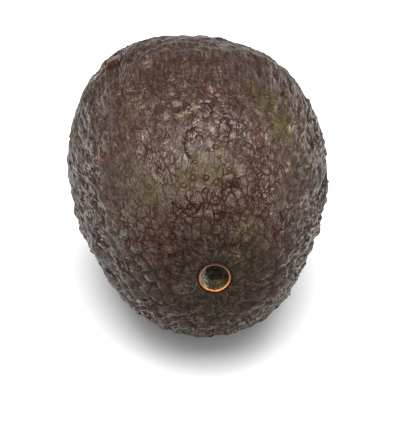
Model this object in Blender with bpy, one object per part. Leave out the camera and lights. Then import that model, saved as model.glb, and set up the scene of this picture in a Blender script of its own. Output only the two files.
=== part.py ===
"""A ripe, dark-skinned avocado with its stem scar open, lying on its side.

The fruit grew as one piece, so it is one solid: the pebbled skin, the corky ring round its stem
scar, and the shallow cup inside that ring. Metres, +Z up. The stem end points to -Y and the
blossom end to +Y. The origin is on the surface that the fruit rests on, under the middle of its
bounding box.

A place on the skin is named by two angles: its polar angle, 0 at the stem scar and 180 degrees at
the blossom end, and its azimuth round the long axis, 0 at +X and 90 degrees at the top.
"""

import math

import bmesh
import bpy
import numpy as np
from mathutils import Vector, kdtree, noise

# The egg that the swells and pebbles are raised from
LENGTH = 0.102
RADIUS = 0.0362
EGG = 0.13  # moves the widest girth towards the blossom end
STEM_LIFT = 0.0017  # how far the stem end bends up
STEM_DRIFT = 0.0030  # how far it bends towards +X

# Where the fruit is fuller or flatter than the egg: azimuth, polar angle, spread, height
SWELLS = (
    (135, 112, 26, 0.0013),  # left shoulder
    (120, 125, 16, 0.0012),  # its corner
    (90, 125, 20, -0.0015),  # top, behind the middle
    (180, 85, 26, -0.0020),  # left flank
    (-150, 65, 20, -0.0006),
    (0, 85, 26, -0.0011),  # right flank
    (-25, 68, 22, -0.0016),
    (-118, 55, 18, 0.0018),  # belly under the stem end
    (-90, 50, 18, 0.0007),
    (-56, 55, 18, 0.0019),
)

# The pebbled skin
PEBBLES = 900
PEBBLE_HEIGHTS = (0.00045, 0.0010)  # lowest and highest
PEBBLE_JITTER = 0.32  # of the pebbles' spacing
PEBBLE_EDGE = 0.45  # share of the spacing over which a pebble rises to its top
PEBBLE_SEED = 7
PEBBLE_LEVEL = 0.00044  # the pebbled skin's mean height
LOW_VIGOUR, HIGH_VIGOUR = 0.9, 0.4  # share of the pebbles' relief, low and high on the fruit
CALM_BAND = (-0.1, 0.6)  # where it changes, as the upward part of a place's direction
SMOOTH_RADIUS = math.radians(26)  # the skin is smooth this near to the stem scar
BROAD_WAVE = 0.0005  # slow dips and rises, as the flesh ripens unevenly
BROAD_WAVES = 3.2  # of them across the fruit

# The stem scar, as rings drawn in from the skin's first one: share of its radius, height above it
SCAR_RADIUS = 0.0043
SCAR_SIDES = 28
RING_CREST = ((0.95, 0.00035), (0.89, 0.00040), (0.83, 0.00010))
CUP = ((0.80, -0.0010), (0.72, -0.0022), (0.55, -0.0028), (0.28, -0.0031))
CUP_MIDDLE = -0.0029

# The lattice of faces
FACE_ALONG = 0.0023
FACE_AROUND = 0.00178
FEWEST_SIDES = 8
MERIDIAN_STEPS = 2000  # for measuring along the skin from the scar to the blossom end

# How it lies
REST_HEIGHT = 0.0357  # from the long axis down to the flat spot
MIDDLE = (0.0005, 0.0002)  # of the bounding box, from the long axis

# Each material's name, colour and roughness, in the order of its faces' index
SKIN, RING, CUP_WALL = 0, 1, 2
MATERIALS = (
    ("avocado_skin", (0.058, 0.038, 0.033, 1.0), 0.5),
    ("corky_ring", (0.48, 0.20, 0.07, 1.0), 0.7),
    ("stem_cup", (0.045, 0.042, 0.022, 1.0), 0.8),
)


def clear_scene():
    """Removes the objects that a new file starts with."""
    for obj in list(bpy.data.objects):
        bpy.data.objects.remove(obj)


def directions(polar, azimuth):
    """Unit vectors for places on the skin, one a row."""
    polar, azimuth = np.broadcast_arrays(polar, azimuth)
    side = np.sin(polar)
    return np.stack([side * np.cos(azimuth), -np.cos(polar), side * np.sin(azimuth)], axis=-1)


def eased(share):
    """A rise from 0 to 1 that starts and ends level, for any number."""
    share = np.clip(share, 0, 1)
    return share**2 * (3 - 2 * share)


def bare_form(place):
    """Points on the fruit without its pebbles, and the ways out of the skin there."""
    stemward = -place[:, 1]
    girth = RADIUS * (1 - EGG * stemward)
    points = np.stack([girth * place[:, 0], -LENGTH / 2 * stemward, girth * place[:, 2]], axis=-1)
    outward = points / np.array([RADIUS, LENGTH / 2, RADIUS]) ** 2
    outward /= np.linalg.norm(outward, axis=1, keepdims=True)
    for azimuth, polar, spread, height in SWELLS:
        centre = directions(math.radians(polar), math.radians(azimuth))
        away = np.arccos(np.clip(place @ centre, -1, 1)) / math.radians(spread)
        points += outward * (height * np.exp(-(away**2) / 2))[:, None]
    bend = ((1 + stemward) / 2) ** 2
    points[:, 0] += STEM_DRIFT * bend
    points[:, 2] += STEM_LIFT * bend
    return points, outward


def pebble_centres():
    """Pebbles on a golden spiral over the sphere of directions, each pushed a little aside."""
    random = np.random.default_rng(PEBBLE_SEED)
    spacing = math.sqrt(4 * math.pi / PEBBLES)
    turn = math.pi * (3 - math.sqrt(5))
    polar = np.arccos(1 - 2 * (np.arange(PEBBLES) + 0.5) / PEBBLES)
    place = directions(polar, turn * np.arange(PEBBLES))
    place += random.normal(0, PEBBLE_JITTER * spacing, place.shape)
    place /= np.linalg.norm(place, axis=1, keepdims=True)
    return place, random.uniform(*PEBBLE_HEIGHTS, PEBBLES), spacing


def pebble_relief(place):
    """Height of the pebbled skin over the bare form, at each place."""
    centres, heights, spacing = pebble_centres()
    tree = kdtree.KDTree(PEBBLES)
    for index, centre in enumerate(centres):
        tree.insert(Vector(centre), index)
    tree.balance()
    pebbled = np.empty(len(place))
    broad = np.empty(len(place))
    for row, at in enumerate(place):
        (_, nearest, near), (_, _, next_near) = tree.find_n(Vector(at), 2)
        pebbled[row] = heights[nearest] * eased((next_near - near) / 2 / (PEBBLE_EDGE * spacing))
        broad[row] = BROAD_WAVE * noise.noise(Vector(at) * BROAD_WAVES)
    calm = eased((place[:, 2] - CALM_BAND[0]) / (CALM_BAND[1] - CALM_BAND[0]))
    vigour = LOW_VIGOUR + (HIGH_VIGOUR - LOW_VIGOUR) * calm
    from_stem = np.arccos(np.clip(-place[:, 1], -1, 1))
    relief = PEBBLE_LEVEL + vigour * (pebbled - PEBBLE_LEVEL) + broad
    return relief * eased(from_stem / SMOOTH_RADIUS)


def skin(polar, azimuth):
    """Points on the pebbled skin."""
    place = directions(polar, azimuth)
    points, outward = bare_form(place)
    return points + outward * pebble_relief(place)[:, None]


def egg_radius(polar):
    """The egg's distance from its long axis."""
    return RADIUS * np.sin(polar) * (1 - EGG * np.cos(polar))


def ring_polars():
    """Polar angles of the skin's rings, evenly spaced over its length from scar to blossom end."""
    polar = np.linspace(0, math.pi, MERIDIAN_STEPS)
    along = -LENGTH / 2 * np.cos(polar)
    run = np.cumsum(np.hypot(np.diff(egg_radius(polar), prepend=0), np.diff(along, prepend=-LENGTH / 2)))
    near_stem = slice(MERIDIAN_STEPS // 4)
    first = np.interp(SCAR_RADIUS, egg_radius(polar)[near_stem], run[near_stem])
    last = run[-1] - FACE_ALONG / 2
    count = round((last - first) / FACE_ALONG) + 1
    return np.interp(np.linspace(first, last, count), run, polar)


def skin_rings():
    """The skin as rings of points. Each ring has as many as its girth needs, half a step on."""
    rings = []
    for row, polar in enumerate(ring_polars()):
        girth = 2 * math.pi * egg_radius(polar)
        sides = SCAR_SIDES if row == 0 else max(FEWEST_SIDES, round(girth / FACE_AROUND))
        azimuth = (np.arange(sides) + 0.5 * (row % 2)) * 2 * math.pi / sides
        rings.append(skin(polar, azimuth))
    return rings


def scar_rings(edge):
    """The corky ring and the cup, drawn in from the skin's first ring."""
    centre = edge.mean(axis=0)
    outward = np.cross(edge[0] - centre, edge[SCAR_SIDES // 4] - centre)
    outward /= np.linalg.norm(outward)
    ring = [centre + share * (edge - centre) + height * outward for share, height in RING_CREST]
    cup = [centre + share * (edge - centre) + height * outward for share, height in CUP]
    return ring, cup, centre + CUP_MIDDLE * outward


def stitch(bm, first, second, material):
    """Fills the band between two closed rings of vertices, stepping on along the one that is behind."""
    a, b = 0, 0
    while a < len(first) or b < len(second):
        here, there = first[a % len(first)], second[b % len(second)]
        if (a + 1) * len(second) <= (b + 1) * len(first):
            a += 1
            face = bm.faces.new((here, first[a % len(first)], there))
        else:
            b += 1
            face = bm.faces.new((here, second[b % len(second)], there))
        face.material_index = material


def cap(bm, ring, middle, material):
    """Closes a ring with a fan of faces round one point."""
    for vertex, following in zip(ring, ring[1:] + ring[:1]):
        bm.faces.new((vertex, following, middle)).material_index = material


def settle(point):
    """Moves a point from the long axis's frame to the part's, and presses the flat spot."""
    x, y, z = point
    return Vector((x - MIDDLE[0], y - MIDDLE[1], max(0.0, z + REST_HEIGHT)))


def principled(name, colour, roughness):
    """A plain material that isn't metal."""
    material = bpy.data.materials.new(name)
    material.use_nodes = True
    shader = material.node_tree.nodes["Principled BSDF"]
    shader.inputs["Base Color"].default_value = colour
    shader.inputs["Roughness"].default_value = roughness
    shader.inputs["Metallic"].default_value = 0.0
    return material


def make_avocado():
    """The whole fruit as one closed mesh, from the skin's rings in to the bottom of the cup."""
    rings = skin_rings()
    crest, cup, cup_middle = scar_rings(rings[0])
    blossom_point = skin(np.array([math.pi]), 0.0)[0]

    bm = bmesh.new()

    def placed(ring):
        return [bm.verts.new(settle(point)) for point in ring]

    skin_loops = [placed(ring) for ring in rings]
    crest_loops = [placed(ring) for ring in crest]
    cup_loops = [placed(ring) for ring in cup]
    for outer, inner in zip(skin_loops, skin_loops[1:]):
        stitch(bm, outer, inner, SKIN)
    cap(bm, skin_loops[-1], bm.verts.new(settle(blossom_point)), SKIN)
    for outer, inner in zip([skin_loops[0]] + crest_loops, crest_loops):
        stitch(bm, outer, inner, RING)
    for outer, inner in zip([crest_loops[-1]] + cup_loops, cup_loops):
        stitch(bm, outer, inner, CUP_WALL)
    cap(bm, cup_loops[-1], bm.verts.new(settle(cup_middle)), CUP_WALL)
    bmesh.ops.recalc_face_normals(bm, faces=bm.faces)

    mesh = bpy.data.meshes.new("avocado")
    bm.to_mesh(mesh)
    bm.free()
    for name, colour, roughness in MATERIALS:
        mesh.materials.append(principled(name, colour, roughness))
    mesh.shade_smooth()
    avocado = bpy.data.objects.new("avocado", mesh)
    bpy.context.scene.collection.objects.link(avocado)


clear_scene()
make_avocado()
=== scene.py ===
"""The looks of a ripe, dark-skinned avocado lying on its side, with its stem scar open.

One closed mesh stands for the fruit. It repeats the solid's form and adds what is finer: pores,
wrinkles, long folds, creases, a dent, the scar's crumbly ring and the cup inside it. The materials
read masks on its points, which say where the skin is olive, rusty, dark, webbed, smooth or matt.
Metres, +Z up. A place on the skin is a unit vector, as in the solid: the stem end is at -Y.
"""
import math

import bpy
import numpy as np
from mathutils import Matrix, Vector, kdtree, noise


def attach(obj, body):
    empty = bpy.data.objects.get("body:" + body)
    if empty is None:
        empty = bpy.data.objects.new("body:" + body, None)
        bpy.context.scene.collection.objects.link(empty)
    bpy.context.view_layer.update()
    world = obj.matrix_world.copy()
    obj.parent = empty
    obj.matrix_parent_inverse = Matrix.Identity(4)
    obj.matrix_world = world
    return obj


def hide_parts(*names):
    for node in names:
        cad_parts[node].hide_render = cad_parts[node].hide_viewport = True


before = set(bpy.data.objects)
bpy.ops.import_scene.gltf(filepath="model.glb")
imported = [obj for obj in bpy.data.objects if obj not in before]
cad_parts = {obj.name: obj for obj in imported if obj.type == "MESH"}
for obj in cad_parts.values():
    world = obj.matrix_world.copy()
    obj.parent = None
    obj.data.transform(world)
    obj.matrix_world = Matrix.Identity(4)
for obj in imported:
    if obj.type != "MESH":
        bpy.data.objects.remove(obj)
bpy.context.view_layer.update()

# The egg, its swells and its pebbles, as in the solid
LENGTH = 0.102
RADIUS = 0.0362
EGG = 0.13
STEM_LIFT = 0.0017
STEM_DRIFT = 0.0030
SWELLS = (  # azimuth, polar angle, spread, height
    (135, 112, 26, 0.0013),
    (120, 125, 16, 0.0012),
    (90, 125, 20, -0.0015),
    (180, 85, 26, -0.0020),
    (-150, 65, 20, -0.0006),
    (0, 85, 26, -0.0011),
    (-25, 68, 22, -0.0016),
    (-118, 55, 18, 0.0018),
    (-90, 50, 18, 0.0007),
    (-56, 55, 18, 0.0019),
)
PEBBLES = 900
PEBBLE_HEIGHTS = (0.00045, 0.0010)
PEBBLE_JITTER = 0.32
PEBBLE_EDGE = 0.45
PEBBLE_SEED = 7
PEBBLE_LEVEL = 0.00044
LOW_VIGOUR, HIGH_VIGOUR = 0.9, 0.4
CALM_BAND = (-0.1, 0.6)
SMOOTH_RADIUS = math.radians(26)
BROAD_WAVE = 0.0005
BROAD_WAVES = 3.2
SCAR_RADIUS = 0.0043
TO_PART = (-0.0005, -0.0002, 0.0357)  # from the long axis's frame to the part's

# The photograph's frame and the camera that fits it, from the middle of the long axis
FRAME_WIDTH, FRAME_HEIGHT = 400, 446
CAMERA_AWAY = 0.600
CAMERA_RIGHT = 0.0010
CAMERA_UP = -0.0099
CAMERA_AZIMUTH = math.radians(-2)
CAMERA_ELEVATION = math.radians(30)
PIXELS_FOCAL = 2206  # the focal length, in pixels
SENSOR = 36.0

# The lattice of faces
FACE_ALONG = 0.00044
FACE_AROUND = 0.00050
FEWEST_SIDES = 8
SCAR_SIDES = 96
MERIDIAN_STEPS = 4000

# The grain: a coordinate that draws patterns out along the fruit
GRAIN_STRETCH = 5.0
FAN_RADIUS = 0.007  # so near to either end, patterns fan out
FAN_LENGTH = 0.018  # so near to the scar, they are drawn out further still

# Relief that is finer than the solid's
HOLLOW_SHADE_WIDTH = 0.35  # of the painted shade between pebbles, as a share of a pebble's slope
WRINKLE = 0.00016
MORE_WRINKLE = 0.00032  # on top of it, where the skin is streaky
QUIETER = 0.6  # how much of that is missing where the skin is quiet or matt
WRINKLE_WIDTH = 1.45  # in the grain's millimetres
FINE_WRINKLE = 0.7  # the height of the wrinkles half as wide, as a share
RIDGE_LEVEL = 1.1  # part of the way up the wrinkles that lies on the solid's skin
WRINKLE_START = 0.006  # how far outside the scar's radius they have their full height
KNOBBLE = 0.00018
KNOBBLES = 24  # waves across the fruit
DIMPLE = 0.00035
DIMPLES = 9
DRAPE = 0.0005  # soft waves where the skin is streaky
DRAPE_WIDTH = 4.0  # in the grain's millimetres
DRAPE_STRETCH = 2.5  # on top of the grain's
FOLD_HEIGHT = 0.0003
FOLD_WIDTH = 0.0007
PORE_HEIGHT = 0.00045
PORE_ROUND = 1.5  # power of its dome: steeper sides the nearer to 0
PORE_MOAT = 0.00012
MOAT_AT, MOAT_WIDTH = 1.25, 0.22  # of the groove round a pore, in its radii
CREASE_DEPTH = 0.00035
CREASE_WIDTH = 0.00036
DENT_DEPTH = 0.0006
DENT_WIDTH = 0.0010
SCAR_MOAT = 0.00045
SCAR_MOAT_WIDTH = 0.0005
FARTHEST = 3.0  # where the masks of distance end, in radii or widths

# Pores that the photograph shows: its pixel, and the pore's radius in millimetres
SEEN_PORES = (
    (199.5, 139, 0.85), (226, 141.3, 0.95), (215.4, 148.6, 0.75), (219.5, 158.6, 0.5),
    (195.7, 162, 0.65), (192.8, 177.8, 0.8), (205.8, 177.2, 0.8), (217, 183, 0.75),
    (184, 184.5, 0.75), (204.5, 191.5, 0.75), (228.5, 169.8, 0.7), (248.2, 147, 0.8),
    (216.8, 95.6, 0.95), (154.8, 206.5, 0.55), (172.5, 225.5, 0.7), (173, 237, 0.8),
    (221.2, 235.8, 0.75), (197.5, 206.3, 0.7), (215.8, 199, 0.65), (216.3, 213, 0.6),
    (276.3, 227.5, 0.7), (158.8, 171.3, 0.6), (149.4, 187, 0.6), (235, 224.4, 0.6),
    (133.8, 134.3, 0.8), (127.5, 112.4, 0.6), (162.5, 74.5, 0.6), (257.5, 130, 0.6),
    (270, 104.5, 0.6), (303, 121, 0.7), (308, 140.5, 0.7), (308.7, 168, 0.7),
    (297.5, 165.5, 0.7), (289.4, 188, 0.7), (179.6, 252.9, 0.7), (168.3, 273.3, 0.7),
    (115.7, 255.7, 1.1), (118.6, 282.9, 1.0), (127, 268, 0.9), (140, 267, 0.7),
    (128.6, 244.3, 1.0), (149.3, 283, 0.7), (100, 180.7, 0.7), (105.7, 155.7, 0.8),
)
PORE_SCALE = 0.95  # on these radii
MORE_PORES = 320  # all over, before those near the scar or a seen one are left out
MORE_PORES_RADIUS = (0.00045, 0.0009)
PORE_ROOM = 0.0035
PORELESS = math.radians(16)  # from the stem scar
PORE_SEED = 11

# Lines of pixels that creases, tan cracks, long folds, the dent and its scuffed edge follow
CREASES = (
    ((195, 127), (188, 131), (184.5, 138), (185, 146), (187, 153), (191, 158)),
    ((182, 141), (183.5, 149), (189, 157)),
    ((201, 104), (207, 104), (212, 109), (211, 115), (207, 118)),
    ((219, 137), (219, 127), (222, 119), (227, 119), (230, 128), (229, 138)),
    ((183, 195), (189, 201), (194, 207), (198, 212)),
    ((172, 203), (180, 209), (189, 216), (198, 211), (201, 203)),
    ((222, 180), (228, 181), (235, 186), (242, 190)),
    ((221, 193), (227, 187), (235, 186)),
    ((214, 215), (223, 212), (232, 214)),
    ((110, 68), (116, 65), (122, 62), (127, 58)),
    ((112, 70), (119, 66)),
)
TAN_CRACKS = (
    ((129, 90), (136, 95)),
    ((134, 101), (142, 97), (146, 89)),
    ((138, 105), (142, 108)),
    ((180, 117), (190, 111), (199, 108)),
    ((188, 112), (193, 103)),
    ((233, 238), (236, 228)),
    ((241, 232), (246, 225)),
    ((175, 289), (185, 285), (195, 283)),
    ((178, 293), (194, 288)),
    ((113, 224), (115, 218)),
    ((229, 254), (235, 260)),
    ((233, 252), (240, 257)),
)
FOLDS = (
    ((190, 39), (176, 41), (160, 47), (148, 54), (137, 63), (128, 69), (118, 80), (108, 92), (100, 106)),
    ((172, 50), (158, 52), (146, 58), (137, 67), (128, 74), (124, 84), (119, 95)),
    ((150, 62), (140, 66), (135, 72), (130, 80), (125, 92)),
    ((200, 37), (225, 40), (250, 47), (270, 59), (285, 74)),
    ((230, 46), (252, 54), (268, 66), (274, 84)),
    ((285, 70), (300, 92), (312, 122), (320, 160), (319, 190)),
    ((295, 97), (302, 114), (312, 137), (317, 160)),
    ((287, 125), (295, 135), (302, 145), (306, 160)),
    ((287, 145), (292, 152), (297, 162), (297, 175)),
    ((275, 212), (265, 221), (256, 230), (244, 242)),
    ((282, 175), (276, 195), (268, 208)),
    ((313, 190), (307, 200), (302, 212), (299, 221), (294, 240), (284, 262)),
    ((88, 190), (89, 207), (98, 224), (106, 237), (113, 258), (127, 281)),
    ((101, 197), (108, 213), (107, 223), (114, 237), (123, 247)),
    ((78, 150), (77, 175), (82, 200), (87, 225), (98, 250)),
    ((98, 100), (92, 118), (88, 140), (86, 165)),
    ((106, 104), (100, 122), (98, 140)),
)
SCUFF = ((136, 43), (118, 54.5), (103, 68), (91, 83))
DENT = ((124, 59), (117, 64), (109, 68))
LINE_STEPS = 2  # points to the pixel

# Soft patches of tone, crackled webs, smooth skin and matt skin that the photograph shows: pixel, length
# along the fruit and width in millimetres, strength
OLIVE = (
    (185, 180, 5, 9, 0.8), (210, 173, 6, 6, 1.0), (141, 196, 7, 6, 1.0), (275, 117, 8, 6, 0.9),
    (245, 235, 9, 5, 0.9), (254, 256, 5, 4, 0.9), (129, 245, 7, 6, 0.5), (120, 110, 10, 6, 0.3),
    (296, 165, 12, 6, 0.5), (127, 150, 12, 5, 0.3), (232, 263, 4, 3, 1.0), (110, 260, 10, 6, 0.5),
    (280, 200, 12, 4, 0.5), (185, 300, 8, 8, 0.4), (230, 305, 8, 8, 0.4),
)
RUST = (
    (105.7, 156, 3, 2, 1.0), (160, 240, 6, 5, 0.7), (172, 262, 5, 6, 0.6), (207, 205, 6, 5, 0.6),
    (258, 200, 9, 4, 0.6), (287, 238, 7, 4, 0.5), (120, 205, 6, 4, 0.5), (207, 94, 2.5, 2, 0.8),
    (248, 165, 8, 3, 0.5), (262, 283, 1.5, 3, 0.8), (235, 135, 8, 3, 0.3), (196, 214, 4, 8, 0.5),
)
DARK = (
    (214, 235, 12, 6, 0.5), (205, 255, 6, 12, 0.7), (225, 190, 5, 4, 0.4), (100, 235, 14, 4, 0.6),
    (298, 225, 14, 4, 0.7), (214, 264, 4, 5, 0.9), (115, 64, 2.5, 2.5, 0.9), (152, 87, 6, 5, 0.8),
    (240, 290, 8, 8, 0.4), (185, 310, 8, 14, 0.3), (105, 185, 12, 4, 0.5), (235, 195, 5, 6, 0.3),
    (95, 92, 8, 4, 1.0), (84, 116, 8, 3, 0.9), (250, 92, 5, 4, 0.5), (118, 130, 8, 4, 0.6),
    (300, 178, 9, 3, 0.9), (118, 185, 8, 4, 0.7), (120, 62, 6, 3, 0.9),
    (112, 155, 12, 4, 0.5),
)
WEB = (
    (214, 210, 4, 5, 1.0), (190, 212, 4, 5, 1.0), (232, 186, 5, 4, 1.0), (256, 195, 10, 5, 1.0),
    (262, 150, 8, 3, 0.6), (165, 170, 7, 4, 0.6), (150, 150, 8, 3, 0.6), (175, 240, 6, 6, 0.7),
    (205, 235, 6, 5, 0.6), (240, 220, 8, 4, 0.8), (280, 225, 10, 3, 0.8), (130, 225, 10, 3, 0.7),
    (150, 226, 6, 4, 0.8), (161, 250, 8, 4, 1.0), (140, 214, 6, 3, 0.7), (176, 262, 4, 4, 0.8),
)
SMOOTH = (
    (190, 176, 4, 7, 1.0), (212, 172, 4, 6, 0.9), (141, 196, 5, 5, 0.8), (275, 117, 6, 5, 0.6),
    (150, 80, 7, 5, 0.9), (252, 92, 6, 4, 1.0), (95, 95, 8, 6, 0.8), (215, 208, 2, 3, 0.7),
    (200, 62, 5, 10, 0.8), (214, 300, 8, 12, 0.6), (250, 256, 5, 5, 0.6), (130, 75, 6, 5, 0.9),
    (110, 115, 9, 6, 0.8), (120, 145, 8, 5, 0.6), (270, 95, 6, 6, 0.8), (292, 140, 8, 5, 0.7),
    (165, 60, 4, 6, 0.8), (235, 62, 4, 6, 0.8), (150, 105, 5, 4, 0.7),
)
MATT = (
    (140, 46, 6, 2, 1.0), (160, 36, 4, 1.5, 1.0), (118, 61, 6, 3, 1.0), (100, 78, 7, 3, 1.0),
    (86, 98, 8, 3, 1.0), (77, 120, 8, 2.5, 1.0), (71, 145, 8, 1.8, 1.0), (67, 175, 8, 1.2, 0.8),
    (300, 180, 8, 3, 0.6), (118, 182, 9, 4, 0.5),
)

# The same on the sides that it doesn't show, as slow noise
HIDDEN_FACING = 0.25  # how squarely the skin faces the camera where this starts
HIDDEN_CONTRAST = 0.5
HIDDEN_TONES = 2.2  # waves across the fruit

# The reach of the other masks
TAN_WIDTH = 0.0007
SCUFF_WIDTH = 0.0011
SCAR_HALO = 0.012
STREAKY_BAND = (0.5, 0.95)  # upward part of a place's direction: streaks below, plateaus above
SIDE_BAND = (0.25, 0.60)  # sideways part of it: plateaus nearer the middle, streaks farther out
RIM_BAND = (0.35, 0.62)  # how squarely skin faces the camera: a lively rim below, quiet streaks above
STEM_CALM = 1.5  # how soon that liveliness is gone towards the stem scar
STEM_REACH = math.radians(75)  # the skin is darker and duller this near to the scar

# The scar, by the share of its radius
SKIN, RING, CUP = 0, 1, 2  # the materials' indices
SCAR_ROWS = 40
SCAR_SHARES = np.linspace(1, 0, SCAR_ROWS + 2)[1:-1]
CUP_EDGE = 0.83
SCAR_PROFILE = (  # share and height, from the edge in
    (1.0, 0.0), (0.97, 0.00015), (0.93, 0.00032), (0.88, 0.00036), (0.84, 0.0000),
    (0.80, -0.0009), (0.74, -0.0019), (0.60, -0.0026), (0.30, -0.0030), (0.0, -0.0030),
)
SCAR_CRUMBS = 1300  # waves to the metre
RING_CRUMB = 0.00012
CUP_CRUMB = 0.00035
CRUMB_START = 0.25  # power by which they grow from the scar's edge in

# Colours, linear
PURPLE_BROWN = (0.052, 0.028, 0.021, 1.0)
PALE_BROWN = (0.150, 0.100, 0.078, 1.0)
TAUPE = (0.076, 0.044, 0.033, 1.0)
DEEP_BROWN = (0.024, 0.014, 0.009, 1.0)
SHADE = (0.008, 0.006, 0.004, 1.0)
# rusty flecks in the webs: partly rust tone, partly painted highlight
WEB_RUST_AND_GLINT = (0.150, 0.070, 0.045, 1.0)
# painted shade in furrows, between pebbles and in creases, and the colour of the dark specks
SPECK_AND_SHADE_BROWN = (0.015, 0.007, 0.005, 1.0)
OLIVE_TINT = (0.070, 0.064, 0.024, 1.0)
OLIVE_BRIGHT = (0.150, 0.140, 0.040, 1.0)
RUST_TINT = (0.120, 0.034, 0.020, 1.0)
# a darker rust, laid as painted shade towards a pore's edge
RUST_AND_SHADE = (0.045, 0.014, 0.009, 1.0)
# painted shade in the crackle of the webs
CRACKLE_SHADE_RED = (0.024, 0.008, 0.005, 1.0)
DARK_TINT = (0.016, 0.008, 0.006, 1.0)
# a pore's dark rim, and painted shade in the groove round it
PORE_RING_SHADE = (0.022, 0.008, 0.006, 1.0)
PORE_RUST = (0.066, 0.022, 0.014, 1.0)
PORE_TAN = (0.110, 0.056, 0.030, 1.0)
TAN_TINT = (0.220, 0.160, 0.100, 1.0)
RAY_TAN = (0.078, 0.062, 0.038, 1.0)
RING_TAN = (0.620, 0.250, 0.080, 1.0)
# the ring's darker crumbs, and its painted shade
RING_DARK_AND_SHADE = (0.200, 0.070, 0.025, 1.0)
# painted shade in the groove round the scar, at the ring's outer edge
RING_EDGE_SHADE = (0.014, 0.005, 0.004, 1.0)
CUP_DARK = (0.005, 0.004, 0.002, 1.0)
CUP_OLIVE = (0.028, 0.024, 0.009, 1.0)
CUP_TAN = (0.085, 0.062, 0.024, 1.0)
# painted light on the cup's greenish left wall
CUP_LIT_PALE = (0.260, 0.290, 0.200, 1.0)

# Tones: mask, colour, waves to the grain's millimetre, strength where it starts and where it is full,
# and its share there
TONES = (
    ("olive", OLIVE_TINT, 0.5, 0.75, 1.55, 0.9),
    ("olive", OLIVE_BRIGHT, 0.7, 1.6, 2.0, 0.5),
    ("rust", RUST_TINT, 0.9, 1.0, 1.6, 0.8),
    ("dark", DARK_TINT, 0.8, 0.8, 1.6, 0.75),
)

# How much of its own colour each has at most
# the first two: painted shade in the furrows and in the nets of creases
FURROW_SHADE_SHARE = 0.7
CREASE_SHADE_SHARE = 0.85
MARK_SHADE_SHARE = 0.97  # the painted shade in the creases that the photograph shows
DARK_RAY_SHARE = 0.9
TAN_RAY_SHARE = 0.75
FAINT_PORE = 0.2  # a pore that the photograph doesn't show
STEM_DARKER = 0.62

# How noise or a mask moves the edge between two colours
PORE_RAGGED = 1.4  # inwards on a pore, in its radii
PORE_TOP = (1.3, 1.75)  # where its top ends, so moved
PORE_RING_BAND = (1.5, 1.7), (1.9, 2.2)  # and where its dark ring, partly painted shade, starts and ends
RING_RAGGED = 0.06  # inwards on the ring's dark edge, as a share of the scar's radius
RING_LOW = 0.035  # outwards at the ring's bottom
CUP_WALL_PALER = 0.22

# Noise: waves to the metre, detail, roughness
MOTTLE = (220, 3.0, 0.55)
SPECKS = (1250, 1.6, 0.6)
PATCHES = (90, 3.0, 0.6)  # where the skin is more leathery
CRACKLE_GAPS = (330, 2.0)
CREASE_GAPS = (500, 2.0)
PORE_NOISE = (1000, 3.0)
RING_CRUMBS = (1300, 4.0, 0.65)
CUP_BLOTCHES = (720, 4.0, 0.65)
CUP_BLOOM = (1500, 3.0, 0.65)

# Noise along the grain: waves to its millimetre, detail, roughness, distortion
FLECKS = (0.8, 4.0, 0.65, 0.5)
FIBRES = (1.25, 2.0, 0.6, 0.4)
RAYS = (0.9, 2.0, 0.6)
HAIRS = (1.6, 1.0, 0.5)
TONE_GAPS = (5.0, 0.75, 0.6)  # after the tone's own waves
STRAND_DRAW = 0.55  # less than 1 draws what runs along the fruit out further
CRACKLE_DRAW = 2.2

# Nets of creases in noise: waves to the metre or to the grain's millimetre, detail, distortion
SHORT_NET = (470, 3.0, 0.7)
TAN_NET = (600, 2.0, 1.2)
LONG_NET = (0.62, 3.0, 0.7)
STRANDS = (0.55, 2.0, 0.4)
NET_ROUGHNESS = 0.55

# Nets between cells: waves and reach of the push that bends them, then cells to the same length
PLATEAU_WARP, PLATEAUS = (900, 0.0010), 1250
CRACKLE_WARP, CRACKLE = (0.65, 2.0), 0.80
WIDE_WARP, WIDE_NET = (0.7, 1.6), 0.42

# Relief of the materials
WIDE_DEPTH = 0.00022
FINE_DEPTH = 0.00014
RAY_DEPTH = 0.00010
SPECK_HEIGHT = 0.00014
PLATEAU_HEIGHT = 0.00009
FIBRE_HEIGHT = 0.00019
STRAND_HEIGHT = 0.00014
RIM_ROUGHER = 0.8  # how much more of it there is along the photograph's outline
RING_DEPTH = 0.0003
CUP_DEPTH = 0.0006

# Gloss
SKIN_IOR = 1.45
SKIN_ROUGHNESS = (0.29, 0.41)
WARM_GLOSS = (1.0, 0.90, 0.84, 1.0)
GLOSS, DULL = 0.74, 0.11  # high on the fruit, and round the stem
GLINTS = (0.1, 10.0)  # times the gloss, between the strands and on them
RING_ROUGHNESS, RING_SHINE = 0.75, 0.2
CUP_ROUGHNESS, CUP_SHINE = 0.6, 0.12
PAPER_ROUGHNESS = 0.9

# The studio
PAPER = (0.70, 0.70, 0.70, 1.0)
WHITE = (1.0, 1.0, 1.0, 1.0)
FLOOR_REACH = 4.0
FLOOR_DROP = -0.0002
SOFTBOX_SIZE = 2.9
SOFTBOX_AWAY = 2.6
SOFTBOX_TOWARDS = (0.02, -0.25, 1.0)
SOFTBOX_POWER = 232.0
FRONT_LIGHT, BACK_LIGHT, HORIZON_LIGHT = 1.4, 0.12, 0.4
FRONT_BAND = (-0.45, 0.1)  # forward part of the direction, where the back of the room meets its front
HORIZON_BAND = (0.08, 0.20)  # upward part of the direction, where the brighter horizon ends
CEILING_BAND = (0.60, 0.80)  # and where the room goes dark, behind the softbox


def directions(polar, azimuth):
    """Unit vectors for places on the skin, one a row."""
    polar, azimuth = np.broadcast_arrays(polar, azimuth)
    side = np.sin(polar)
    return np.stack([side * np.cos(azimuth), -np.cos(polar), side * np.sin(azimuth)], axis=-1)


def eased(share):
    """A rise from 0 to 1 that starts and ends level, for any number."""
    share = np.clip(share, 0, 1)
    return share**2 * (3 - 2 * share)


def between(value, low, high):
    """The same rise, from low to high."""
    return eased((value - low) / (high - low))


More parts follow.
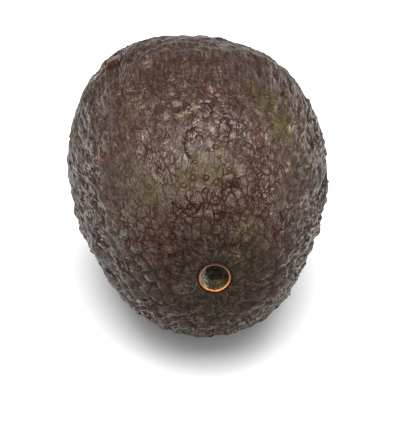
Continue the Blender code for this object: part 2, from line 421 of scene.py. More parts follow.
def bare_form(place):
    """Points on the fruit without its pebbles, and the ways out of the skin there."""
    stemward = -place[:, 1]
    girth = RADIUS * (1 - EGG * stemward)
    points = np.stack([girth * place[:, 0], -LENGTH / 2 * stemward, girth * place[:, 2]], axis=-1)
    outward = points / np.array([RADIUS, LENGTH / 2, RADIUS]) ** 2
    outward /= np.linalg.norm(outward, axis=1, keepdims=True)
    for azimuth, polar, spread, height in SWELLS:
        centre = directions(math.radians(polar), math.radians(azimuth))
        away = np.arccos(np.clip(place @ centre, -1, 1)) / math.radians(spread)
        points += outward * (height * np.exp(-(away**2) / 2))[:, None]
    bend = ((1 + stemward) / 2) ** 2
    points[:, 0] += STEM_DRIFT * bend
    points[:, 2] += STEM_LIFT * bend
    return points, outward


def tree_of(centres):
    """A search tree over a list of points."""
    tree = kdtree.KDTree(len(centres))
    for index, centre in enumerate(centres):
        tree.insert(Vector(centre), index)
    tree.balance()
    return tree


def scattered(count, jitter, random):
    """Places on a golden spiral over the sphere of directions, each pushed a little aside."""
    spacing = math.sqrt(4 * math.pi / count)
    turn = math.pi * (3 - math.sqrt(5))
    polar = np.arccos(1 - 2 * (np.arange(count) + 0.5) / count)
    place = directions(polar, turn * np.arange(count))
    place += random.normal(0, jitter * spacing, place.shape)
    return place / np.linalg.norm(place, axis=1, keepdims=True), spacing


def pebble_relief(place):
    """Height of the pebbled skin over the bare form, as in the solid, and how much painted shade lies
    between pebbles.
    """
    random = np.random.default_rng(PEBBLE_SEED)
    centres, spacing = scattered(PEBBLES, PEBBLE_JITTER, random)
    heights = random.uniform(*PEBBLE_HEIGHTS, PEBBLES)
    tree = tree_of(centres)
    nearest = np.empty(len(place), dtype=int)
    border = np.empty(len(place))
    for row, at in enumerate(place):
        (_, nearest[row], near), (_, _, next_near) = tree.find_n(Vector(at), 2)
        border[row] = (next_near - near) / 2 / (PEBBLE_EDGE * spacing)
    pebbled = heights[nearest] * eased(border)
    broad = BROAD_WAVE * noise_at(place * BROAD_WAVES)
    calm = between(place[:, 2], *CALM_BAND)
    vigour = LOW_VIGOUR + (HIGH_VIGOUR - LOW_VIGOUR) * calm
    from_stem = np.arccos(np.clip(-place[:, 1], -1, 1))
    relief = PEBBLE_LEVEL + vigour * (pebbled - PEBBLE_LEVEL) + broad
    grown = eased(from_stem / SMOOTH_RADIUS)
    return relief * grown, np.exp(-(border / HOLLOW_SHADE_WIDTH) ** 2) * vigour * grown


def egg_radius(polar):
    """The egg's distance from its long axis."""
    return RADIUS * np.sin(polar) * (1 - EGG * np.cos(polar))


def meridian():
    """Polar angles from the scar to the blossom end, and the way along the skin to each."""
    polar = np.linspace(0, math.pi, MERIDIAN_STEPS)
    along = -LENGTH / 2 * np.cos(polar)
    run = np.cumsum(np.hypot(np.diff(egg_radius(polar), prepend=0), np.diff(along, prepend=-LENGTH / 2)))
    return polar, run


def skin_lattice():
    """Polar angles and azimuths over the skin, row by row from the scar's edge, and each row's count."""
    polar, run = meridian()
    near_stem = slice(MERIDIAN_STEPS // 4)
    first = np.interp(SCAR_RADIUS, egg_radius(polar)[near_stem], run[near_stem])
    last = run[-1] - FACE_ALONG / 2
    count = round((last - first) / FACE_ALONG) + 1
    polars, azimuths, counts = [], [], []
    for row, at in enumerate(np.interp(np.linspace(first, last, count), run, polar)):
        girth = 2 * math.pi * egg_radius(at)
        sides = SCAR_SIDES if row == 0 else max(FEWEST_SIDES, round(girth / FACE_AROUND))
        polars.append(np.full(sides, at))
        azimuths.append((np.arange(sides) + 0.5 * (row % 2)) * 2 * math.pi / sides)
        counts.append(sides)
    return np.append(np.concatenate(polars), math.pi), np.append(np.concatenate(azimuths), 0.0), counts


def grain_of(polar, azimuth):
    """A coordinate in millimetres for what runs along the fruit. It is compressed along the
    meridians, which draws a pattern out along them, most of all near the scar. It fans out from both
    ends."""
    fan = np.hypot(egg_radius(polar), FAN_RADIUS)
    run = np.interp(polar, *meridian())
    run -= FAN_LENGTH * (1 - np.exp(-run / FAN_LENGTH))
    return 1000 * np.stack([fan * np.cos(azimuth), run / GRAIN_STRETCH, fan * np.sin(azimuth)], axis=-1)


def camera_axes():
    """Unit vectors to the camera's right, up, and back from what it looks at."""
    side, ahead = math.sin(CAMERA_AZIMUTH), math.cos(CAMERA_AZIMUTH)
    low, high = math.cos(CAMERA_ELEVATION), math.sin(CAMERA_ELEVATION)
    return (np.array([ahead, side, 0.0]), np.array([-side * high, ahead * high, low]),
            np.array([side * low, -ahead * low, high]))


def camera_place():
    """Where the camera is, from the middle of the long axis."""
    right, up, back = camera_axes()
    return CAMERA_RIGHT * right + CAMERA_UP * up + CAMERA_AWAY * back


def pixels_of(points):
    """Where points show in the photograph's frame."""
    right, up, back = camera_axes()
    from_camera = points - camera_place()
    scale = PIXELS_FOCAL / -(from_camera @ back)
    return np.stack([FRAME_WIDTH / 2 + scale * (from_camera @ right),
                     FRAME_HEIGHT / 2 - scale * (from_camera @ up)], axis=-1)


def facing_of(points, outward):
    """How squarely the skin faces the camera: 1 straight at it, 0 at the outline."""
    to_camera = camera_place() - points
    return np.einsum("ij,ij->i", outward, to_camera) / np.linalg.norm(to_camera, axis=1)


class Skin:
    """The skin's lattice and what is known at each of its points."""

    def __init__(self):
        self.polar, self.azimuth, self.counts = skin_lattice()
        self.place = directions(self.polar, self.azimuth)
        self.points, self.outward = bare_form(self.place)
        self.grain = grain_of(self.polar, self.azimuth)
        self.pixels = pixels_of(self.points)
        self.facing = facing_of(self.points, self.outward)
        slope = np.stack([np.cos(self.polar) * np.cos(self.azimuth) * RADIUS,
                          np.sin(self.polar) * LENGTH / 2,
                          np.cos(self.polar) * np.sin(self.azimuth) * RADIUS], axis=-1)
        self.along = slope / np.linalg.norm(slope, axis=1, keepdims=True)
        self.around = np.cross(self.along, self.outward)
        self.outside = egg_radius(self.polar) - SCAR_RADIUS
        self.near_stem = self.polar < math.pi / 2

    def seen(self, x, y):
        """The index of the point that shows at a pixel of the photograph."""
        away = np.hypot(self.pixels[:, 0] - x, self.pixels[:, 1] - y)
        return int(np.argmin(np.where(self.facing > 0, away, np.inf)))

    def patch(self, x, y, length, width, strength):
        """A soft patch round a pixel, drawn out along the fruit. Length and width are in metres."""
        at = self.seen(x, y)
        away = self.points - self.points[at]
        reach = ((away @ self.along[at]) / length) ** 2 + ((away @ self.around[at]) / width) ** 2
        reach += ((away @ self.outward[at]) / width) ** 2
        return strength * np.exp(-reach / 2)

    def from_lines(self, lines):
        """How far each point is from the nearest of these lines of pixels."""
        on_lines = []
        for line in lines:
            for (x, y), (next_x, next_y) in zip(line, line[1:]):
                steps = max(2, round(LINE_STEPS * math.hypot(next_x - x, next_y - y)))
                for share in np.linspace(0, 1, steps):
                    at = self.seen(x + share * (next_x - x), y + share * (next_y - y))
                    on_lines.append(self.points[at])
        return self.from_points(on_lines)[0]

    def from_points(self, centres):
        """How far each point is from the nearest of these centres, and which one that is."""
        tree = tree_of(centres)
        found = [tree.find(Vector(point)) for point in self.points]
        return np.array([away for _, _, away in found]), np.array([index for _, index, _ in found])


def noise_at(coordinates, seed=0.0):
    """Smooth noise between about -1 and 1."""
    shift = Vector((seed, seed, seed))
    return np.array([noise.noise(Vector(at) + shift) for at in coordinates])


def folds(coordinates, seed=0.0):
    """Soft plateaus with sharp creases between them, 0 in the creases and about 1 at most."""
    return np.sqrt(np.abs(noise_at(coordinates, seed)))


def tone(skin, patches, seed, amount):
    """A mask from patches that the photograph shows, and slow noise on the sides that it doesn't."""
    mask = np.zeros(len(skin.points))
    for x, y, length, width, strength in patches:
        mask = np.maximum(mask, skin.patch(x, y, length / 1000, width / 1000, strength))
    hidden = eased(1 - skin.facing / HIDDEN_FACING)
    slow = eased((noise_at(skin.place * HIDDEN_TONES, seed) + amount) / HIDDEN_CONTRAST)
    return np.maximum(mask, hidden * slow)


def pore_centres(skin):
    """The centres and radii of the pores: those that the photograph shows, then seeded others."""
    random = np.random.default_rng(PORE_SEED)
    centres = [skin.points[skin.seen(x, y)] for x, y, _ in SEEN_PORES]
    radii = [PORE_SCALE * radius / 1000 for _, _, radius in SEEN_PORES]
    seen = tree_of(centres)
    more, _ = scattered(MORE_PORES, PEBBLE_JITTER, random)
    more, _ = bare_form(more[more[:, 1] > -math.cos(PORELESS)])
    for centre, radius in zip(more, random.uniform(*MORE_PORES_RADIUS, len(more))):
        if seen.find(Vector(centre))[2] > PORE_ROOM:
            centres.append(centre)
            radii.append(radius)
    return np.array(centres), np.array(radii)


def skin_relief(skin, masks, relief):
    """Height of everything on the skin over the bare form, in metres, from its pebbles' relief up."""
    grown = eased(skin.outside / WRINKLE_START)
    lively = masks["streaky"] * (1 - QUIETER * np.maximum(masks["quiet"], masks["matt"]))
    relief = relief + (WRINKLE + MORE_WRINKLE * lively) * (masks["ridge"] - RIDGE_LEVEL) * grown
    knobs = KNOBBLE * noise_at(skin.place * KNOBBLES, seed=3.0)
    knobs += DIMPLE * noise_at(skin.place * DIMPLES, seed=4.0)
    relief += (knobs + DRAPE * masks["streaky"] * masks["draped"]) * grown
    dome = np.clip(1 - masks["pore"] ** 2, 0, 1) ** PORE_ROUND
    moat = np.exp(-((masks["pore"] - MOAT_AT) / MOAT_WIDTH) ** 2)
    relief += PORE_HEIGHT * dome - PORE_MOAT * moat
    relief += FOLD_HEIGHT * masks["fold"]
    relief -= CREASE_DEPTH * np.exp(-masks["crease"] ** 2)
    relief -= DENT_DEPTH * np.exp(-masks["dent"] ** 2)
    relief -= SCAR_MOAT * np.exp(-(skin.outside / SCAR_MOAT_WIDTH) ** 2) * skin.near_stem
    return relief


def skin_masks(skin, hollow_shade):
    """What the material needs to know at each point of the skin."""
    centres, radii = pore_centres(skin)
    away, which = skin.from_points(centres)
    wrinkle = skin.grain / WRINKLE_WIDTH
    drape = skin.grain * (1.0, 1.0 / DRAPE_STRETCH, 1.0) / DRAPE_WIDTH
    streaky = 1 - between(skin.place[:, 2], *STREAKY_BAND)
    sided = between(np.abs(skin.place[:, 0]), *SIDE_BAND)
    masks = {
        # painted shade in the hollows between pebbles
        "hollow_shade": hollow_shade,
        "draped": noise_at(drape, seed=6.0),
        "ridge": folds(wrinkle) + FINE_WRINKLE * folds(wrinkle * 2, seed=9.0),
        "pore": np.clip(away / radii[which], 0, FARTHEST),
        "pore_tint": np.random.default_rng(PORE_SEED).uniform(0, 1, len(centres))[which],
        "pore_faint": (which >= len(SEEN_PORES)).astype(float),
        "crease": np.clip(skin.from_lines(CREASES) / CREASE_WIDTH, 0, FARTHEST),
        "tan": np.exp(-(skin.from_lines(TAN_CRACKS) / TAN_WIDTH) ** 2),
        "scuff": np.exp(-(skin.from_lines([SCUFF]) / SCUFF_WIDTH) ** 2),
        "fold": np.exp(-(skin.from_lines(FOLDS) / FOLD_WIDTH) ** 2),
        "dent": np.clip(skin.from_lines([DENT]) / DENT_WIDTH, 0, FARTHEST),
        "olive": tone(skin, OLIVE, seed=1.0, amount=0.05),
        "rust": tone(skin, RUST, seed=2.0, amount=-0.05),
        "dark": tone(skin, DARK, seed=3.0, amount=0.0),
        "web": tone(skin, WEB, seed=4.0, amount=0.0),
        "smooth": tone(skin, SMOOTH, seed=5.0, amount=-0.1),
        "matt": tone(skin, MATT, seed=7.0, amount=0.0),
        "scar": np.where(skin.near_stem, np.clip(skin.outside / SCAR_HALO, 0, 1), 1.0),
        "stem": eased(1 - skin.polar / STEM_REACH),
        "streaky": np.maximum(streaky, sided),
    }
    rim = 1 - between(skin.facing, *RIM_BAND)
    masks["rim"] = rim * (1 - np.clip(STEM_CALM * masks["stem"], 0, 1))
    masks["quiet"] = masks["streaky"] * (1 - masks["rim"]) * (1 - masks["web"])
    return masks


def scar_rows(edge):
    """The corky ring and the cup, row by row in from the skin's first row, and the cup's middle."""
    centre = edge.mean(axis=0)
    outward = np.cross(edge[0] - centre, edge[SCAR_SIDES // 4] - centre)
    outward /= np.linalg.norm(outward)
    shares, heights = np.array(SCAR_PROFILE).T
    rows = []
    for share in SCAR_SHARES:
        row = centre + share * (edge - centre)
        height = np.interp(share, shares[::-1], heights[::-1])
        crumbs = noise_at(row * SCAR_CRUMBS, seed=5.0) * (RING_CRUMB if share > CUP_EDGE else CUP_CRUMB)
        rows.append(row + (height + crumbs * (1 - share) ** CRUMB_START)[:, None] * outward)
    return rows, centre + heights[-1] * outward


def band(first, second):
    """Triangles between two closed rows, given as (start, count), stepping on along the one behind."""
    (start, count), (next_start, next_count) = first, second
    faces, a, b = [], 0, 0
    while a < count or b < next_count:
        here, there = start + a % count, next_start + b % next_count
        if (a + 1) * next_count <= (b + 1) * count:
            a += 1
            faces.append((here, start + a % count, there))
        else:
            b += 1
            faces.append((here, next_start + b % next_count, there))
    return faces


def fan(row, middle):
    """Triangles that close a row round one point."""
    start, count = row
    return [(start + step, start + (step + 1) % count, middle) for step in range(count)]


def settled(points):
    """Moves points to the part's frame, and presses the flat spot."""
    moved = points + TO_PART
    moved[:, 2] = np.maximum(moved[:, 2], 0.0)
    return moved


def starts_of(counts, first=0):
    """(start, count) of each row of points."""
    starts = first + np.concatenate([[0], np.cumsum(counts)[:-1]])
    return list(zip(starts.tolist(), counts))


def placed(name, data):
    """A new object in the scene."""
    thing = bpy.data.objects.new(name, data)
    bpy.context.scene.collection.objects.link(thing)
    return thing


def fruit_faces(skin_rows, blossom_point, inner_rows, middle_point):
    """Every triangle of the fruit, and the part that each belongs to."""
    groups = [(band(row, following), SKIN) for row, following in zip(skin_rows, skin_rows[1:])]
    groups.append((fan(skin_rows[-1], blossom_point), SKIN))
    inwards = [(band(row, following), RING if share > CUP_EDGE else CUP)
               for share, row, following in zip(SCAR_SHARES, [skin_rows[0]] + inner_rows, inner_rows)]
    inwards.append((fan(inner_rows[-1], middle_point), CUP))
    groups += [([face[::-1] for face in faces], part) for faces, part in inwards]
    return ([face for faces, _ in groups for face in faces],
            [part for faces, part in groups for _ in faces])


def keep(mesh, name, values):
    """Puts a mask, or a coordinate, on the mesh's points. Those past the last value have 0."""
    full = np.zeros((len(mesh.vertices),) + values.shape[1:], dtype=np.float32)
    full[:len(values)] = values
    kind, field = ("FLOAT", "value") if values.ndim == 1 else ("FLOAT_VECTOR", "vector")
    mesh.attributes.new(name, kind, "POINT").data.foreach_set(field, full.ravel())


def make_avocado():
    """The fruit as one closed mesh: the skin's rows to the blossom end, then the scar's rows inwards."""
    skin = Skin()
    pebbles, hollow_shade = pebble_relief(skin.place)
    masks = skin_masks(skin, hollow_shade)
    skin_points = skin.points + skin.outward * skin_relief(skin, masks, pebbles)[:, None]
    rows, cup_middle = scar_rows(skin_points[:SCAR_SIDES])
    points = settled(np.concatenate([skin_points, *rows, cup_middle[None]]))
    first_inner, middle_point = len(skin_points), len(points) - 1
    inner_rows = starts_of([SCAR_SIDES] * len(rows), first_inner)
    faces, parts = fruit_faces(starts_of(skin.counts), first_inner - 1, inner_rows, middle_point)

    mesh = bpy.data.meshes.new("avocado_fruit")
    mesh.from_pydata(points.tolist(), [], faces)
    mesh.polygons.foreach_set("material_index", parts)
    for name, values in masks.items():
        keep(mesh, name, values)
    across = (points - points[middle_point]) / SCAR_RADIUS
    shares = np.append(np.repeat(SCAR_SHARES, SCAR_SIDES), 0.0)
    keep(mesh, "share", np.concatenate([np.ones(first_inner), shares]))
    keep(mesh, "low", -across[:, 2])
    keep(mesh, "left", -across[:, 0])
    keep(mesh, "grain", skin.grain)
    mesh.shade_smooth()
    mesh.update()
    for material in (skin_material(), ring_material(), cup_material()):
        mesh.materials.append(material)
    fruit = placed("avocado_fruit", mesh)
    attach(fruit, "root")
    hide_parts("avocado")


class Graph:
    """Shorthand for the nodes of one material or world."""

    def __init__(self, tree):
        self.tree = tree

    def feed(self, socket, value):
        """Links a socket to a socket, or sets it to a value."""
        if isinstance(value, bpy.types.NodeSocket):
            self.tree.links.new(value, socket)
        else:
            socket.default_value = value

    def node(self, kind, output, fed=None, **settings):
        """An output of a new node with these settings, whose sockets are fed by name or number."""
        made = self.tree.nodes.new("ShaderNode" + kind)
        for name, value in settings.items():
            setattr(made, name, value)
        for socket, value in (fed or {}).items():
            self.feed(made.inputs[socket], value)
        return made.outputs[output]

    def attribute(self, name):
        """A mask of the mesh, or its grain."""
        return self.node("Attribute", "Vector" if name == "grain" else "Fac", attribute_name=name)

    def position(self):
        """Where the point is, in metres."""
        return self.node("TexCoord", "Object")

    def noise(self, vector, scale, detail=2.0, roughness=0.5, distortion=0.0):
        """Noise of so many waves to the coordinate's unit, about 0.25 to 0.75."""
        return self.node("TexNoise", "Fac", {"Vector": vector, "Scale": scale, "Detail": detail,
                                             "Roughness": roughness, "Distortion": distortion})

    def cells(self, vector, scale):
        """Distance to the nearest edge between irregular cells, about 0.4 in their middle."""
        fed = {"Vector": vector, "Scale": scale}
        return self.node("TexVoronoi", "Distance", fed, feature="DISTANCE_TO_EDGE")

    def warped(self, vector, scale, amount):
        """The coordinate pushed about by noise, by up to about half the amount."""
        push = self.node("TexNoise", "Color", {"Vector": vector, "Scale": scale})
        fed = {0: push, 1: (amount, amount, amount), 2: vector}
        return self.node("VectorMath", "Vector", fed, operation="MULTIPLY_ADD")

    def scaled(self, vector, factors):
        """The coordinate, each part times a factor."""
        return self.node("VectorMath", "Vector", {0: vector, 1: factors}, operation="MULTIPLY")

    def fold(self, vector, scale, detail, distortion):
        """Height over a net of creases: 0 in them, about 1 at most between."""
        waves = self.noise(vector, scale, detail, NET_ROUGHNESS, distortion)
        return self.times(self.maths("ABSOLUTE", self.maths("SUBTRACT", waves, 0.5)), 4.0)

    def rise(self, value, low, high, bottom=0.0, top=1.0):
        """bottom below low, top above high, and a smooth way between them."""
        fed = {"Value": value, "From Min": low, "From Max": high, "To Min": bottom, "To Max": top}
        return self.node("MapRange", "Result", fed, interpolation_type="SMOOTHSTEP")

    def fall(self, value, low, high, top=1.0, bottom=0.0):
        """The same from top down to bottom."""
        return self.rise(value, low, high, top, bottom)

    def swing(self, mask, off, on):
        """off where a mask is 0, on where it is 1, and the same way between them."""
        return self.rise(mask, 0.0, 1.0, off, on)

    def maths(self, operation, *values):
        """One sum of up to three values."""
        return self.node("Math", 0, dict(enumerate(values)), operation=operation)

    def times(self, product, *factors):
        """The product of some values."""
        for factor in factors:
            product = self.maths("MULTIPLY", product, factor)
        return product

    def most(self, highest, *others):
        """The highest of some values."""
        for other in others:
            highest = self.maths("MAXIMUM", highest, other)
        return highest

    def blend(self, share, first, second):
        """A value between two."""
        return self.node("Mix", 0, {0: share, 2: first, 3: second})

    def mix(self, share, first, second):
        """A colour between two."""
        return self.node("Mix", 2, {0: share, 6: first, 7: second}, data_type="RGBA")

    def edge(self, low, high, bottom, top):
        """A rise towards the outline, where the surface turns away."""
        return self.rise(self.node("LayerWeight", "Facing"), low, high, bottom, top)

    def bump(self, height, scale=1.0):
        """The surface's normal under a relief, in metres at scale 1."""
        return self.node("Bump", "Normal", {"Height": height, "Distance": scale})

    def shade(self, **sockets):
        """Sets sockets of the material's shader."""
        for name, value in sockets.items():
            self.feed(self.tree.nodes["Principled BSDF"].inputs[name.replace("_", " ")], value)


def new_material(name, shorthand=Graph):
    """A material with its own nodes, and the shorthand for them."""
    material = bpy.data.materials.new(name)
    material.use_nodes = True
    return material, shorthand(material.node_tree)


class SkinLook(Graph):
    """The skin's nodes. Its masks and patterns come first, then layer on layer of colour, then the
    relief and the gloss, which read some of what the layers leave behind."""

    def __init__(self, tree):
        super().__init__(tree)
        self.place, self.grain = self.position(), self.attribute("grain")
        self.drawn = self.scaled(self.grain, (1.0, STRAND_DRAW, 1.0))
        self.streaky, self.quiet, self.web = map(self.attribute, ("streaky", "quiet", "web"))
        crest = self.rise(self.attribute("draped"), 0.02, 0.30, 0.0, 0.8)
        self.smooth = self.most(self.attribute("smooth"), crest)
        self.mottle = self.noise(self.place, *MOTTLE)
        self.speck = self.noise(self.place, *SPECKS)
        self.speckled = self.swing(self.streaky, 1.0, 0.45)
        self.fibre = self.noise(self.drawn, *FIBRES)
        self.strand = self.fall(self.fold(self.drawn, *STRANDS), 0.03, 0.32)
        self.find_creases()

    def find_creases(self):
        """Short creases in leathery skin, long ones along the fruit, and the crackle of the webs.
        All of them together are the fine ones. The wide ones and the furrows are apart."""
        patchy = self.rise(self.noise(self.place, *PATCHES), 0.38, 0.60, 0.6, 1.0)
        leathery = self.times(patchy, self.swing(self.smooth, 1.0, 0.1), self.swing(self.quiet, 1.0, 0.35))
        short = self.fall(self.fold(self.place, *SHORT_NET), 0.01, 0.17)
        short = self.times(short, self.fall(self.streaky, 0.3, 0.9, 1.0, 0.3), leathery)
        long = self.fall(self.fold(self.drawn, *LONG_NET), 0.02, 0.24)
        long = self.times(long, self.rise(self.streaky, 0.0, 0.6, 0.5, 1.0), self.swing(leathery, 0.25, 1.0))
        crackle = self.warped(self.scaled(self.grain, (1.0, CRACKLE_DRAW, 1.0)), *CRACKLE_WARP)
        crackle = self.fall(self.cells(crackle, CRACKLE), 0.02, 0.15)
        gaps = self.rise(self.noise(self.place, *CRACKLE_GAPS), 0.42, 0.56, 0.2, 1.0)
        self.fine = self.most(short, long, self.times(self.web, crackle, gaps))
        wide = self.fall(self.cells(self.warped(self.grain, *WIDE_WARP), WIDE_NET), 0.01, 0.09)
        self.wide = self.times(wide, self.swing(self.web, 0.5, 1.0))
        # the valleys of the wrinkles, and the hollows between pebbles, which take painted shade
        furrow_shade = self.fall(self.attribute("ridge"), 0.30, 0.85)
        furrow_shade = self.times(furrow_shade, self.swing(self.streaky, 0.3, 1.0), self.swing(self.quiet, 1.0, 0.4))
        self.furrow_shade = self.most(furrow_shade, self.attribute("hollow_shade"))

    def over(self, share, tint):
        """Lays a tint over the colour so far."""
        self.colour = self.mix(share, self.colour, tint)

    def lay_ground(self):
        """Brown, lighter and darker in flecks and fibres that run along the fruit."""
        self.colour = self.mix(self.rise(self.mottle, 0.4, 0.6), PURPLE_BROWN, TAUPE)
        self.over(self.fall(self.noise(self.grain, *FLECKS), 0.40, 0.62, 0.7), DEEP_BROWN)
        lively = self.swing(self.most(self.smooth, self.quiet), 1.0, 0.45)
        self.over(self.times(self.fall(self.fibre, 0.38, 0.50, 0.75), lively), DEEP_BROWN)
        self.over(self.times(self.rise(self.fibre, 0.52, 0.64, 0.0, 0.5), lively), PALE_BROWN)

    def lay_tones(self):
        """Olive, rusty and dark tones, each broken up by noise."""
        for name, tint, waves, low, high, share in TONES:
            broken = self.rise(self.noise(self.grain, waves, *TONE_GAPS), 0.33, 0.67)
            strength = self.maths("ADD", self.attribute(name), broken)
            self.over(self.rise(strength, low, high, 0.0, share), tint)

    def lay_leather(self):
        """Dark and pale specks, rusty flecks in the webs that are partly painted highlight, and painted
        shade in the furrows and creases.
        """
        self.over(self.times(self.fall(self.speck, 0.38, 0.55, 0.65), self.speckled), SPECK_AND_SHADE_BROWN)
        self.over(self.times(self.rise(self.speck, 0.55, 0.68, 0.0, 0.25), self.speckled), PALE_BROWN)
        # pale rusty flecks in the webs, partly painted highlight
        self.over(self.times(self.web, self.rise(self.speck, 0.48, 0.62, 0.12, 0.55)), WEB_RUST_AND_GLINT)
        # painted shade in the furrows and between pebbles
        self.over(self.times(self.furrow_shade, FURROW_SHADE_SHARE), SPECK_AND_SHADE_BROWN)
        # painted shade in the nets of creases, redder in the webs
        crease_shade_colour = self.mix(self.web, SPECK_AND_SHADE_BROWN, CRACKLE_SHADE_RED)
        self.over(self.times(self.fine, CREASE_SHADE_SHARE), crease_shade_colour)
        self.over(self.times(self.wide, CREASE_SHADE_SHARE), crease_shade_colour)

    def lay_rays(self):
        """Dark and tan streaks that fan out from the scar, and a dark line of painted shade round it, in the
        groove there.
        """
        scar = self.attribute("scar")
        near = self.fall(scar, 0.3, 1.0)
        rays = self.noise(self.drawn, *RAYS)
        hairs = self.fall(self.noise(self.drawn, *HAIRS), 0.42, 0.48)
        self.ray = self.times(near, self.most(self.fall(rays, 0.38, 0.48), hairs))
        self.over(self.times(self.ray, DARK_RAY_SHARE), DARK_TINT)
        self.over(self.times(near, self.rise(rays, 0.53, 0.60), TAN_RAY_SHARE), RAY_TAN)
        # painted shade in the groove round the scar
        self.scar_shade_line = self.fall(scar, 0.015, 0.04)
        self.over(self.scar_shade_line, RING_EDGE_SHADE)

    def lay_pores(self):
        """Pores: a rusty top that darkens towards its edge in painted shade, in a dark ring that is partly
        the pore's own rim and partly painted shade in the groove round it, both irregular.
        """
        ragged = self.noise(self.place, *PORE_NOISE)
        self.pore = self.maths("MULTIPLY_ADD", ragged, PORE_RAGGED, self.attribute("pore"))
        plain = self.swing(self.attribute("pore_faint"), 1.0, FAINT_PORE)
        first, last = PORE_RING_BAND
        # the dark ring: partly the pore's rim, partly painted shade in its groove
        self.pore_shade = self.times(self.rise(self.pore, *first), self.fall(self.pore, *last, 0.9), plain)
        self.over(self.pore_shade, PORE_RING_SHADE)
        top = self.mix(self.rise(self.attribute("pore_tint"), 0.6, 1.0), PORE_RUST, PORE_TAN)
        # painted shade towards the pore's edge
        top = self.mix(self.rise(self.pore, 0.7, 1.4, 0.0, 0.7), top, RUST_AND_SHADE)
        self.over(self.times(self.fall(self.pore, *PORE_TOP, 0.92), plain), top)

    def lay_marks(self):
        """Painted shade in the creases round the pores, pale cracks, and the scuffed edge of the dent."""
        gaps = self.rise(self.noise(self.place, *CREASE_GAPS), 0.30, 0.50, 0.3, 1.0)
        # painted shade in the creases that the photograph shows, broken by noise
        self.creased_shade = self.times(self.fall(self.attribute("crease"), 0.2, 1.2), gaps)
        self.over(self.times(self.creased_shade, MARK_SHADE_SHARE), SPECK_AND_SHADE_BROWN)
        cracked = self.fall(self.fold(self.place, *TAN_NET), 0.03, 0.18)
        self.over(self.times(self.attribute("tan"), cracked), TAN_TINT)
        self.over(self.times(self.attribute("scuff"), self.rise(self.speck, 0.45, 0.6)), TAN_TINT)

    def relief(self):
        """The patterns' height in metres: more of it along the photograph's outline, less on pores."""
        plateau = self.cells(self.warped(self.place, *PLATEAU_WARP), PLATEAUS)
        height = self.times(self.wide, -WIDE_DEPTH)
        for pattern, top in (
            (self.fine, -FINE_DEPTH),
            (self.ray, -RAY_DEPTH),
            (self.times(self.speck, self.speckled), SPECK_HEIGHT),
            (self.times(plateau, self.speckled), PLATEAU_HEIGHT),
            (self.fibre, FIBRE_HEIGHT),
            (self.times(self.strand, self.streaky), STRAND_HEIGHT),
        ):
            height = self.maths("MULTIPLY_ADD", pattern, top, height)
        rough = self.swing(self.streaky, 0.85, 0.95)
        rough = self.maths("MULTIPLY_ADD", self.attribute("rim"), RIM_ROUGHER, rough)
        return self.times(height, rough, self.rise(self.pore, 1.3, 1.8, 0.2, 1.0))

    def shine(self):
        """How much the skin shines: less in creases, on pores, round the stem and in olive, matt or
        quiet skin. Where the flanks turn away, the strands and the long folds glint."""
        dull = self.most(
            self.wide, self.fine, self.creased_shade, self.pore_shade, self.scar_shade_line, self.attribute("matt"),
            self.times(self.smooth, 0.7), self.times(self.furrow_shade, 0.8),
            self.swing(self.attribute("olive"), 0.0, 0.6), self.fall(self.pore, *PORE_TOP, 0.6),
        )
        folded = self.times(self.attribute("fold"), self.edge(0.30, 0.60, 0.3, 1.0))
        sided = self.times(self.streaky, self.edge(0.32, 0.60, 0.1, 1.0), self.swing(self.smooth, 1.0, 0.4))
        glint = self.swing(self.most(self.strand, self.times(folded, 0.6)), *GLINTS)
        return self.times(
            self.swing(self.attribute("stem"), GLOSS, DULL), self.swing(self.quiet, 1.0, 0.6),
            self.edge(0.15, 0.45, 1.0, 0.45), self.edge(0.74, 0.97, 1.0, 0.25),
            self.blend(self.most(sided, folded), 1.0, glint), self.fall(dull, 0.2, 0.9, 1.0, 0.1),
        )


def skin_material():
    """Dark, dull purple-brown skin with olive, rusty and dark tones, pores, creases and fine wrinkles."""
    material, look = new_material("avocado_skin_look", SkinLook)
    look.lay_ground()
    look.lay_tones()
    look.lay_leather()
    look.lay_rays()
    look.lay_pores()
    look.lay_marks()
    look.over(look.times(look.attribute("stem"), STEM_DARKER), SHADE)
    look.shade(Base_Color=look.colour, Roughness=look.rise(look.mottle, 0.35, 0.65, *SKIN_ROUGHNESS),
               Specular_IOR_Level=look.shine(), Specular_Tint=WARM_GLOSS, IOR=SKIN_IOR,
               Normal=look.bump(look.relief()))
    return material


def ring_material():
    """The corky ring: orange-tan and crumbly, dark at its outer edge in painted shade, with painted light at
    the bottom and painted shade to the left, at the top and at its inner edge.
    """
    material, graph = new_material("corky_ring_look")
    crumb = graph.noise(graph.position(), *RING_CRUMBS)
    low, share = graph.attribute("low"), graph.attribute("share")
    # crumbs, and painted light and shade: lighter at the bottom, darker at the top, to the left and where
    # the ring drops into the cup
    crumbs_and_painted_light = graph.times(
        graph.rise(crumb, 0.40, 0.60, 0.25, 1.0), graph.rise(low, -0.2, 0.9, 0.15, 1.0),
        graph.rise(share, 0.84, 0.90, 0.25, 1.0), graph.fall(graph.attribute("left"), 0.3, 0.9, 1.0, 0.25),
    )
    colour = graph.mix(crumbs_and_painted_light, RING_DARK_AND_SHADE, RING_TAN)
    # the dark outer edge: painted shade of the groove round the ring
    rim = graph.maths("MULTIPLY_ADD", low, -RING_LOW, share)
    rim = graph.maths("MULTIPLY_ADD", crumb, RING_RAGGED, rim)
    colour = graph.mix(graph.rise(rim, 0.95, 0.985), colour, RING_EDGE_SHADE)
    graph.shade(Base_Color=colour, Roughness=RING_ROUGHNESS, Specular_IOR_Level=RING_SHINE,
                Normal=graph.bump(crumb, RING_DEPTH))
    return material


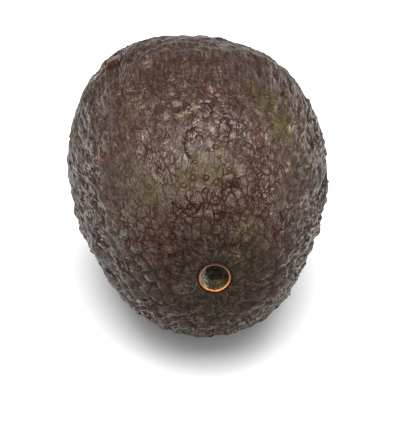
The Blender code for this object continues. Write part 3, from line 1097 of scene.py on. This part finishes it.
def cup_material():
    """The inside of the cup: dark olive with black patches, a pale greenish left wall in painted light, a
    tan lower one.
    """
    material, graph = new_material("stem_cup_look")
    place, share = graph.position(), graph.attribute("share")
    blotch, bloom = graph.noise(place, *CUP_BLOTCHES), graph.noise(place, *CUP_BLOOM)
    ragged = graph.maths("MULTIPLY_ADD", share, CUP_WALL_PALER, blotch)
    colour = graph.mix(graph.rise(ragged, 0.61, 0.67), CUP_DARK, CUP_OLIVE)
    lower = graph.rise(graph.attribute("low"), 0.25, 0.65)
    colour = graph.mix(graph.times(lower, graph.rise(bloom, 0.50, 0.60)), colour, CUP_TAN)
    # painted light on the left wall
    left = graph.times(graph.rise(graph.attribute("left"), 0.25, 0.65), graph.rise(share, 0.35, 0.75))
    colour = graph.mix(graph.times(left, graph.rise(bloom, 0.40, 0.60, 0.15, 1.0)), colour, CUP_LIT_PALE)
    graph.shade(Base_Color=colour, Roughness=CUP_ROUGHNESS, Specular_IOR_Level=CUP_SHINE,
                Normal=graph.bump(blotch, CUP_DEPTH))
    return material


def make_stage():
    """A pale floor, a large soft light overhead that leans to the front, and a plain white room that
    is bright in front and at the sides, dark behind, and a little brighter along its horizon."""
    floor_mesh = bpy.data.meshes.new("floor")
    sides = ((-1, -1), (1, -1), (1, 1), (-1, 1))
    corners = [(FLOOR_REACH * x, FLOOR_REACH * y, FLOOR_DROP) for x, y in sides]
    floor_mesh.from_pydata(corners, [], [(0, 1, 2, 3)])
    paper, graph = new_material("white_paper")
    graph.shade(Base_Color=PAPER, Roughness=PAPER_ROUGHNESS)
    floor_mesh.materials.append(paper)
    placed("floor", floor_mesh)

    lamp = bpy.data.lights.new("softbox", "AREA")
    lamp.size = SOFTBOX_SIZE
    lamp.energy = SOFTBOX_POWER
    softbox = placed("softbox", lamp)
    toward = Vector(SOFTBOX_TOWARDS).normalized()
    softbox.location = SOFTBOX_AWAY * toward
    softbox.rotation_euler = toward.to_track_quat("Z", "Y").to_euler()

    world = bpy.data.worlds.new("white_room")
    world.use_nodes = True
    room = Graph(world.node_tree)
    toward_back, upward = [room.node("SeparateXYZ", axis, {"Vector": room.node("TexCoord", "Generated")})
                           for axis in "YZ"]
    walls = room.rise(room.times(toward_back, -1.0), *FRONT_BAND, BACK_LIGHT, FRONT_LIGHT)
    walls = room.maths("ADD", walls, room.fall(upward, *HORIZON_BAND, HORIZON_LIGHT))
    background = world.node_tree.nodes["Background"]
    room.feed(background.inputs["Color"], WHITE)
    room.feed(background.inputs["Strength"], room.times(walls, room.fall(upward, *CEILING_BAND)))
    bpy.context.scene.world = world
    bpy.context.scene.view_settings.view_transform = "Standard"


def make_camera():
    """The camera that fits the photograph."""
    right, up, back = camera_axes()
    camera = placed("camera", bpy.data.cameras.new("camera"))
    camera.data.sensor_width = SENSOR
    camera.data.lens = SENSOR * PIXELS_FOCAL / FRAME_HEIGHT
    turn = Matrix(np.stack([right, up, back], axis=1).tolist())
    camera.matrix_world = Matrix.Translation((camera_place() + TO_PART).tolist()) @ turn.to_4x4()
    bpy.context.scene.camera = camera


make_camera()
make_stage()
make_avocado()
